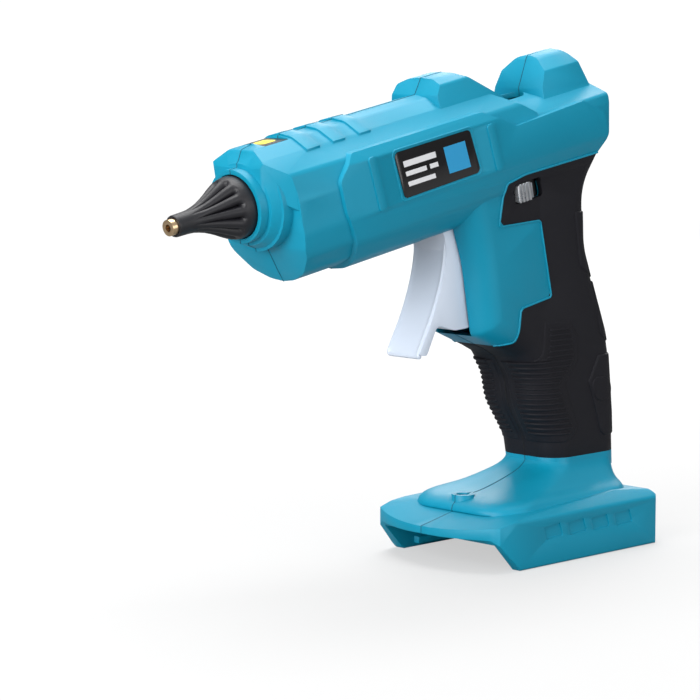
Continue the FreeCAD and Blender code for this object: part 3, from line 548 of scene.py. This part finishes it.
def grip_lip(materials):
    """Fine moulded lip of the housing along the upper edge of the grip."""
    skin = gun_skin()
    for side, word in SIDES:
        path = []
        for start, end in zip(GRIP_LIP, GRIP_LIP[1:]):
            count = max(2, round(math.dist(start, end) / LIP_STEP))
            for step in range(count):
                share = step + 0.5
                x = start[0] + (end[0] - start[0]) * share / count
                z = start[1] + (end[1] - start[1]) * share / count
                point = flank_point(skin, x * MM, z * MM, side)
                if point:
                    path.append(point)
        tube("grip_lip_" + word, [path], LIP_RADIUS, 3, materials["housing"])


# ---------------------------------------------------------------- moulding seam with painted shade

SEAM_RADIUS = 0.14
# A face whose normal is this close to the y axis is a mating face.
MATING_NORMAL = 0.999


def seam_chains(node):
    """Runs of points round the mating faces of a half moulding, in the plane y = 0."""
    shaped = bmesh.new()
    shaped.from_mesh(node.data)
    bmesh.ops.remove_doubles(shaped, verts=shaped.verts, dist=WELD_DISTANCE)
    neighbours = {}
    for edge in shaped.edges:
        if max(abs(vertex.co.y) for vertex in edge.verts) > WELD_DISTANCE:
            continue
        flat = [abs(face.normal.y) > MATING_NORMAL for face in edge.link_faces]
        if len(flat) == 2 and flat[0] != flat[1]:
            first, second = (vertex.index for vertex in edge.verts)
            neighbours.setdefault(first, set()).add(second)
            neighbours.setdefault(second, set()).add(first)
    shaped.verts.ensure_lookup_table()
    chains = []
    used = set()
    for start in sorted(neighbours):
        for following in sorted(neighbours[start]):
            if frozenset((start, following)) in used:
                continue
            chain = [start]
            onward = [following]
            while onward:
                used.add(frozenset((chain[-1], onward[0])))
                chain.append(onward[0])
                onward = [index for index in sorted(neighbours[chain[-1]])
                          if frozenset((chain[-1], index)) not in used]
            chains.append([shaped.verts[index].co.copy() for index in chain])
    shaped.free()
    return chains


def seam_shade_lines():
    """Dark tube of painted shade in the parting groove where the two halves of the housing and of the
    grip meet.
    """
    # Painted shade: the tube's colours are darkened copies of the housing teal and the grip black,
    # standing in for the groove's shadow.
    shade = {"housing": surface("seam_shade_teal", (0.0, 0.05, 0.085), 0.7, grain=900, relief=0.02),
             "grip": surface("seam_shade_black", (0.002, 0.002, 0.002), 0.8, grain=900, relief=0.02)}
    low, high = cad_box
    margin = SEAM_RADIUS * MM

    def inside(point):
        x, z = (min(max(point[axis], low[axis] + margin), high[axis] - margin) for axis in (0, 2))
        return x, 0, z

    for slot in ("housing", "grip"):
        runs = [[inside(point) for point in chain]
                for chain in seam_chains(frame["nodes"][slot + "_left"])]
        tube("seam_" + slot, runs, SEAM_RADIUS, 1, shade[slot])


# ---------------------------------------------------------------- finger blade of the trigger

# Front line of the blade from top to bottom, (x, z), and its half width.
BLADE_LINE = [(15.0, 123.8), (14.9, 119.0), (14.2, 113.5), (12.9, 108.0), (11.2, 102.8),
              (9.0, 97.3), (6.5, 92.0), (4.2, 88.0), (2.0, 84.0), (0.7, 81.6), (0.9, 80.6),
              (1.9, 80.2)]
BLADE_HALF = 8.25
# Places across half the blade, as shares of its half width.
BLADE_SHARES = (0, 0.25, 0.5, 0.7, 0.8, 0.86, 0.9, 0.95, 0.985, 1)
# Heights over the CAD blade: outermost edge, rim and dish.
BLADE_EDGE = 0.35
BLADE_RIM = 0.85
BLADE_DISH = 0.25
# Widths of the edge and the rim, and the length in which the rim falls into the dish.
EDGE_WIDTH = 0.15
RIM_WIDTH = 1.0
RIM_FALL = 0.35
# The face draws in at its sides within this distance of them.
BLADE_DRAW = 0.25
BLADE_DRAW_WIDTH = 0.5
BLADE_DEPTH = 0.5


def blade_points():
    """Even points down the front line of the blade."""
    curve = bpy.data.curves.new("blade_line", "CURVE")
    curve.dimensions = "3D"
    spline = curve.splines.new("NURBS")
    spline.points.add(len(BLADE_LINE) - 1)
    for knot, (x, z) in zip(spline.points, BLADE_LINE):
        knot.co = (x * MM, 0, z * MM, 1)
    spline.order_u = 3
    spline.use_endpoint_u = True
    spline.resolution_u = 6
    guide = bpy.data.objects.new("blade_line", curve)
    line = [vertex.co.copy() for vertex in bpy.data.meshes.new_from_object(guide).vertices]
    bpy.data.objects.remove(guide)
    return line


def trigger_blade(materials):
    """Dished finger face with a raised rim down both sides and across the bottom."""
    line = blade_points()
    last = len(line) - 1
    shares = [-share for share in reversed(BLADE_SHARES[1:])] + list(BLADE_SHARES)
    top = []
    bottom = []
    for r, point in enumerate(line):
        ahead = line[min(r + 1, last)] - line[max(r - 1, 0)]
        outward = Vector((ahead.z, 0, -ahead.x)).normalized()
        if outward.x > 0:
            outward = -outward
        to_end = (line[last] - point).length / MM
        top_row = []
        bottom_row = []
        for share in shares:
            edge = (1 - abs(share)) * BLADE_HALF
            rim = min(edge, to_end)
            if rim < EDGE_WIDTH:
                rise = BLADE_EDGE
            elif rim < RIM_WIDTH:
                rise = BLADE_RIM
            else:
                rise = BLADE_DISH + (BLADE_RIM - BLADE_DISH) * math.exp((RIM_WIDTH - rim) / RIM_FALL)
            across = share * (BLADE_HALF - BLADE_DRAW * max(0.0, 1 - edge / BLADE_DRAW_WIDTH))
            base = Vector((point.x, across * MM, point.z))
            top_row.append(base + outward * rise * MM)
            bottom_row.append(base - outward * BLADE_DEPTH * MM)
        top.append(top_row)
        bottom.append(bottom_row)
    new_piece("trigger_blade", *closed_grid(top, bottom), materials["trigger"], "trigger", "trigger")


# ---------------------------------------------------------------- fluted boot

# Tables along the barrel axis, (s, millimetres): outer radius, inner radius and depth of the flutes.
BOOT_PROFILE = [(-142.6, 3.7), (-142.2, 3.85), (-137, 3.95), (-134.5, 4.2), (-132, 4.75),
                (-129.5, 5.45), (-127, 6.45), (-124.5, 7.6), (-122.3, 8.75), (-120.2, 9.75),
                (-118.4, 10.5), (-116.6, 10.95), (-115, 11.08), (-110.2, 11.08), (-109.6, 10.7)]
BOOT_INSIDE = [(-142.6, 2.95), (-133, 3.65), (-120, 5.4), (-109.6, 7.6)]
FLUTE_DEPTH = [(-136.5, 0.0), (-133, 0.3), (-128, 1.3), (-123, 2.3), (-119.6, 3.0), (-119.0, 2.4),
               (-118.2, 0.5), (-117.8, 0.0)]
FLUTES = 12
FLUTE_POINTS = 16
FLUTE_ROUNDNESS = 0.5
BOOT_STEPS = 120
BOOT_SPLIT = math.radians(60)


def fluted_boot(materials):
    """Silicone boot with rounded flutes; the grooves between them end in pockets before the flange."""
    around = FLUTES * FLUTE_POINTS
    front = BOOT_PROFILE[0][0]
    length = BOOT_PROFILE[-1][0] - front
    rings = []
    for step in range(BOOT_STEPS + 1):
        station = front + length * step / BOOT_STEPS
        rings.append((station, interpolate(BOOT_PROFILE, station), interpolate(FLUTE_DEPTH, station)))
    rings += [(station, radius, 0.0) for station, radius in reversed(BOOT_INSIDE)]
    vertices = []
    for station, radius, depth in rings:
        for k in range(around):
            angle = 2 * math.pi * k / around
            crest = abs(math.cos(FLUTES * angle / 2)) ** FLUTE_ROUNDNESS
            r = radius - depth * (1 - crest)
            vertices.append(barrel_point(station, r * math.sin(angle), r * math.cos(angle)))
    faces = []
    for ring in range(len(rings)):
        low = ring * around
        high = ((ring + 1) % len(rings)) * around
        for k in range(around):
            after = (k + 1) % around
            faces.append((low + k, low + after, high + after, high + k))
    boot = new_piece("fluted_boot", vertices, faces, materials["boot"], "boot")
    boot.modifiers.new("split", "EDGE_SPLIT").split_angle = BOOT_SPLIT
    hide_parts("nozzle_boot")


# ---------------------------------------------------------------- labels and sticker

# The labels' outer face is this far from the middle plane, millimetres.
LABEL_FACE = 22.65
PRINT_SINK = 0.1
PRINT_RISE = 0.05
LABEL_LEAN = -0.165
LABEL_BARS = [(-52.6, -36.0, 0.8, 3.0), (-52.6, -42.0, -2.6, -0.9), (-40.2, -36.0, -2.6, -0.9),
              (-52.6, -38.6, -6.4, -4.7)]
LABEL_BLOCK = (-31.5, -20.2, -6.6, 3.4)
SEAT_RIM = 0.4
SEAT_GAP = 1.0
SEAT_SINK = 0.35
# Half height of a label, and the half length up to which the rim keeps its gap in full.
SEAT_HALF_HEIGHT = 9.5
SEAT_HALF_LENGTH = 8
# Corners of the block on the top sticker, (s, y), and the heights of its two faces.
STICKER_BLOCK = [(-99.6, -1.4), (-98.6, -2.6), (-93.6, -2.6), (-92.6, -1.4), (-92.6, 2.4),
                 (-93.6, 3.6), (-98.6, 3.6), (-99.6, 2.4)]
STICKER_FACES = (18.7, 18.9)
PRINT_SPLIT = math.radians(30)


def print_surface(name, colour):
    """Smooth printing ink."""
    return surface(name, colour, 0.35, grain=900, relief=0.01)


def film(name, corners, place, low, high, material, slot):
    """Flat print with the given outline, from low to high over the barrel axis."""
    vertices = [place(u, v, out) for out in (low, high) for u, v in corners]
    count = len(corners)
    faces = [tuple(range(count)), tuple(range(2 * count - 1, count - 1, -1))]
    faces += [(k, (k + 1) % count, (k + 1) % count + count, k + count) for k in range(count)]
    piece = new_piece(name, vertices, faces, material, slot)
    piece.modifiers.new("split", "EDGE_SPLIT").split_angle = PRINT_SPLIT


def leaning(s_low, s_high, t_low, t_high):
    """Corners of a label block, its ends parallel to the label's leaning ends."""
    return [(s + LABEL_LEAN * t, t) for s, t in ((s_low, t_low), (s_high, t_low),
                                                 (s_high, t_high), (s_low, t_high))]


def label_prints():
    """Plain bars and a plain block on both labels."""
    silver = print_surface("label_silver", (0.72, 0.73, 0.75))
    blue = print_surface("label_blue", (0.02, 0.30, 0.58))
    faces = (LABEL_FACE - PRINT_SINK, LABEL_FACE + PRINT_RISE)
    for side, word in SIDES:
        def place(u, v, out):
            return barrel_point(u, side * out, v)

        for index, bar in enumerate(LABEL_BARS):
            film("label_bar_%s_%d" % (word, index), leaning(*bar), place, *faces, silver, "label")
        film("label_block_" + word, leaning(*LABEL_BLOCK), place, *faces, blue, "label")


def outline_of(node, side):
    """Corners of a label's outer face in (s, t), in order round its middle, and its distance out."""
    outer = max(side * vertex.co.y for vertex in node.data.vertices)
    points = []
    for vertex in node.data.vertices:
        if side * vertex.co.y > outer - 0.00002:
            flat = (vertex.co - AXIS_POINT) / MM
            points.append((flat.dot(ALONG), flat.dot(UP)))
    middle = [sum(values) / len(points) for values in zip(*points)]
    points.sort(key=lambda point: math.atan2(point[1] - middle[1], point[0] - middle[0]))
    return points, middle, outer / MM


def label_rims(materials):
    """Low raised rim on the housing round each label."""
    for side, word in SIDES:
        points, (s_mid, t_mid), outer = outline_of(frame["nodes"]["label_" + word], side)
        run = []
        for s, t in points:
            s_share = 1 + SEAT_GAP / max(abs(s - s_mid), SEAT_HALF_LENGTH)
            t_share = 1 + SEAT_GAP / SEAT_HALF_HEIGHT
            run.append(barrel_point(s_mid + (s - s_mid) * s_share, side * (outer - SEAT_SINK),
                                    t_mid + (t - t_mid) * t_share))
        tube("label_rim_" + word, [run], SEAT_RIM, 3, materials["housing"], closed=True)


def sticker_print():
    """Plain block on the top sticker."""
    yellow = print_surface("sticker_yellow", (0.85, 0.70, 0.03))
    film("sticker_block", STICKER_BLOCK, barrel_point, *STICKER_FACES, yellow, "sticker")


materials = make_materials()
camera()
studio()
floor()
dress_nodes(materials)
grip_details(materials)
grip_lip(materials)
seam_shade_lines()
trigger_blade(materials)
fluted_boot(materials)
label_prints()
label_rims(materials)
sticker_print()
